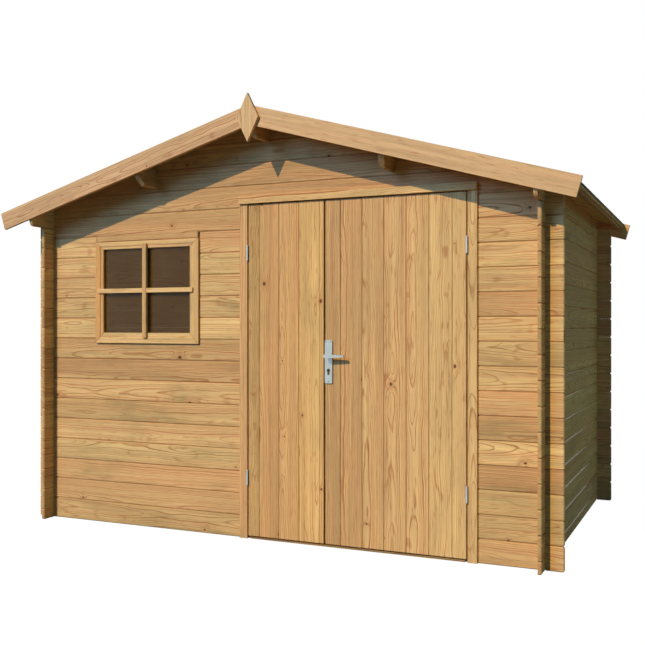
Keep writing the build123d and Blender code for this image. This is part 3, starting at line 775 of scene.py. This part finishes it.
def feltFinish():
    finish = Finish("mineralFelt")
    x, y, z = finish.split(finish.place())
    grit = finish.noise(finish.join(x * 900, y * 900, z * 900), 1.0)
    speck = finish.add("TexVoronoi", None, {"Vector": finish.place(), "Scale": feltSet["grain"]}, "Color")
    spark = finish.split(speck)[0].ease(0.8, 1.0)
    cloud = finish.noise(finish.join(x * 3, y * 5, z * 3), 3.0)
    colour = finish.mix(cloud, feltSet["dark"], feltSet["grey"])
    colour = finish.mix(spark * 0.5, colour, feltSet["spark"])
    return finish.surface({
        "Base Color": colour,
        "Roughness": 0.84 + grit * 0.12,
        "Specular IOR Level": 0.25,
        "Normal": finish.bump(grit + spark * 0.4, 0.5, 0.0012),
    })


felt = feltFinish()


def tilt(side):
    # slope frame: x down the slope from the ridge, z up from the underside of the boards
    return Matrix.Translation((0, 0, ridgeZ)) @ Matrix.Rotation(slope * side, 4, "Y")


def addStrip(mesh, side, start, end, lift, fold=0.0):
    # one length of felt, its lower edge folded down over the roof's edge
    x0, x1 = start * side, end * side
    reach = roofHigh.y - roofSet["feltInset"]
    corners = [mesh.verts.new((x0, -reach, lift)), mesh.verts.new((x0, reach, lift)),
               mesh.verts.new((x1, reach, lift)), mesh.verts.new((x1, -reach, lift))]
    sheet = [mesh.faces.new(corners if side > 0 else corners[::-1])]
    if fold:
        lower = mesh.edges.get((corners[2], corners[3]))
        made = bmesh.ops.extrude_edge_only(mesh, edges=[lower])["geom"]
        moved = [item for item in made if isinstance(item, bmesh.types.BMVert)]
        bmesh.ops.translate(mesh, vec=(roofSet["foldFlare"] * side, 0, -fold), verts=moved)
        sheet += [item for item in made if isinstance(item, bmesh.types.BMFace)]
    bmesh.ops.recalc_face_normals(mesh, faces=sheet)
    if sheet[0].normal.z < 0:
        bmesh.ops.reverse_faces(mesh, faces=sheet)
    bmesh.ops.solidify(mesh, geom=sheet, thickness=roofSet["feltThickness"])


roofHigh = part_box("right_roof_boards")[1]
ridgeZ = roofHigh.z - roofSet["boardThickness"] / math.cos(slope)
for side, word in ((1, "right"), (-1, "left")):
    low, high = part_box(word + "_roof_boards")
    reach = max(abs(low.x), abs(high.x))
    # foot of the boards: the box ends at the upper corner of the square-cut lower edge
    run = (reach - roofSet["boardThickness"] * math.sin(slope)) / math.cos(slope)
    depth = high.y - low.y
    width = depth / roofSet["boards"]
    startX, endX = sorted((roofSet["ridgeGap"] * side, run * side))
    mesh = bmesh.new()
    for number in range(roofSet["boards"]):
        left = low.y + number * width + roofSet["boardGap"] / 2
        right = left + width - roofSet["boardGap"]
        addBoard(mesh, (startX, left, 0.0), (endX, right, roofSet["boardThickness"]), roofSet["boardBevel"], 1)
    bmesh.ops.transform(mesh, matrix=tilt(side), verts=mesh.verts)
    boardWood = wood(word + "RoofBoards", "XYZ", roofSet["seed"] + side, (low, high), width, low.y,
                     turn=-slope * side)
    piece = newPiece(word + "RoofBoards", mesh, "shed", boardWood)
    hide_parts(word + "_roof_boards")

    base = roofSet["boardThickness"] + roofSet["feltGap"] + roofSet["feltThickness"]
    lapped = base + roofSet["feltThickness"]
    lapTop = run - roofSet["stripWidth"] + roofSet["stripSlack"]
    lapFoot = lapTop + roofSet["lap"]
    mesh = bmesh.new()
    addStrip(mesh, side, lapTop, run + roofSet["feltOverhang"], base, roofSet["fold"])
    addStrip(mesh, side, roofSet["feltRidgeGap"], lapFoot, lapped)
    bmesh.ops.transform(mesh, matrix=tilt(side), verts=mesh.verts)
    piece = newPiece(word + "FeltStrips", mesh, "shed", felt)
    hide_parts(word + "_roof_felt")

    mesh = bmesh.new()
    count = int(depth / roofSet["nailStep"])
    for foot, lift in ((run, base), (lapFoot, lapped)):
        down = (foot - roofSet["nailInset"]) * side
        for number in range(count):
            place = (down, low.y + (number + 0.5) * depth / count, lift)
            addDisc(mesh, place, roofSet["nailRadius"], roofSet["nailHeight"], upward, roofSet["nailSides"])
    bmesh.ops.transform(mesh, matrix=tilt(side), verts=mesh.verts)
    piece = newPiece(word + "FeltNails", mesh, "shed", hingeMetal)
print("stage: roof boards and felt")

# stage: pale floor, white surround, sun-like key and soft sky

lightSet = {
    "travel": (0.28, 1.0, -0.69), "sun": 2.95, "sunColour": (1.0, 0.88, 0.67), "sunAngle": 0.5,
    "sky": (0.3, 0.74, 1.0), "skyStrength": 0.21,
}
floorSet = {"half": 40, "drop": 0.001, "colour": tint(116, 114, 98), "white": 0.8, "paper": 1.24,
            "wallInset": 0.01}
sunData = bpy.data.lights.new("keySun", "SUN")
sunData.energy = lightSet["sun"]
sunData.color = lightSet["sunColour"]
sunData.angle = math.radians(lightSet["sunAngle"])
sun = bpy.data.objects.new("keySun", sunData)
sun.rotation_euler = Vector(lightSet["travel"]).to_track_quat("-Z", "Y").to_euler()
bpy.context.scene.collection.objects.link(sun)

panelSet = {
    "frontPanel": {"place": (-6.0, -14.0, 6.0), "aim": (0, -0.85, 1.4), "size": 6, "power": 1800,
                   "colour": (0.17, 0.39, 1.0)},
    "overheadPanel": {"place": (2.4, 0.0, 6.0), "aim": (2.2, 0, 0), "size": 1.5, "power": 26,
                      "colour": (0.62, 0.9, 1.0)},
    "sidePanel": {"place": (13.0, -3.6, 1.0), "aim": (1.4, 0, 0.8), "size": 4, "power": 132,
                  "colour": (0.06, 0.66, 1.0)},
    "backPanel": {"place": (-0.5, 8.0, 2.2), "aim": (0, 1.0, 1.1), "size": 3, "power": 230,
                  "colour": (1.0, 0.93, 0.82)},
}
for name, lamp in panelSet.items():
    panelData = bpy.data.lights.new(name, "AREA")
    panelData.energy = lamp["power"]
    panelData.color = lamp["colour"]
    panelData.size = lamp["size"]
    panel = bpy.data.objects.new(name, panelData)
    panel.location = lamp["place"]
    facing = Vector(lamp["aim"]) - Vector(lamp["place"])
    panel.rotation_euler = facing.to_track_quat("-Z", "Y").to_euler()
    panel.visible_glossy = False
    panel.visible_camera = False
    bpy.context.scene.collection.objects.link(panel)


class Surround(Finish):
    # the world's nodes, made the same way
    def __init__(self, world):
        world.use_nodes = True
        self.tree = world.node_tree
        self.tree.nodes.clear()


world = bpy.data.worlds.new("whiteRoom")
bpy.context.scene.world = world
surround = Surround(world)


def seen(finish):
    # 1 for what the camera sees, straight, mirrored or through glass
    path = finish.add("LightPath", None, None, "Is Camera Ray")
    outputs = path.socket.node.outputs
    mirrored = Wire(finish, outputs["Is Glossy Ray"])
    through = Wire(finish, outputs["Is Transmission Ray"])
    return path.atLeast(mirrored).atLeast(through)


skySockets = {"Color": lightSet["sky"] + (1,), "Strength": lightSet["skyStrength"]}
skyLight = surround.add("Background", None, skySockets)
whiteWall = surround.add("Background", None, {"Color": (1, 1, 1, 1), "Strength": 1.0})
backdrop = surround.add("MixShader", None, {0: seen(surround), 1: skyLight, 2: whiteWall})
surround.add("OutputWorld", None, {"Surface": backdrop})

floorMesh = bmesh.new()
bmesh.ops.create_grid(floorMesh, x_segments=2, y_segments=2, size=floorSet["half"])
floorData = bpy.data.meshes.new("paleFloor")
floorMesh.to_mesh(floorData)
floorMesh.free()
floor = bpy.data.objects.new("paleFloor", floorData)
floor.location.z = -floorSet["drop"]
bpy.context.scene.collection.objects.link(floor)
floorFinish = Finish("paleFloor")
ground = floorFinish.add("BsdfDiffuse", None, {"Color": floorSet["colour"]})
paper = floorFinish.add("Emission", None, {"Color": (1, 1, 1, 1), "Strength": floorSet["paper"]})
floorX, floorY = floorFinish.split(floorFinish.place())[:2]
# the floor inside the shed stays plain
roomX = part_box("right_wall")[1].x - floorSet["wallInset"]
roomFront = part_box("front_wall_left")[0].y + floorSet["wallInset"]
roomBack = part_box("back_wall")[1].y - floorSet["wallInset"]
outdoors = (abs(floorX) > roomX).atLeast(floorY < roomFront).atLeast(floorY > roomBack)
white = seen(floorFinish) * outdoors * floorSet["white"]
floorFinish.show(floorFinish.add("MixShader", None, {0: white, 1: ground, 2: paper}))
dress(floor, floorFinish.material)
floor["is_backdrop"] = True

# camera, level, right of the middle at chest height

cameraSet = {"place": (2.15506, -4.95874, 1.11204), "turn": 0.42188, "lens": 50, "sensor": 36, "shiftY": 0.0037}
cameraData = bpy.data.cameras.new("photoCamera")
cameraData.lens = cameraSet["lens"]
cameraData.sensor_width = cameraSet["sensor"]
cameraData.shift_y = cameraSet["shiftY"]
camera = bpy.data.objects.new("photoCamera", cameraData)
camera.location = cameraSet["place"]
camera.rotation_euler = (math.pi / 2, 0, cameraSet["turn"])
bpy.context.scene.collection.objects.link(camera)
bpy.context.scene.camera = camera
bpy.context.scene.view_settings.view_transform = "Standard"

low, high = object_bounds()
print("stage: done, box", [round(value, 4) for value in low], [round(value, 4) for value in high])
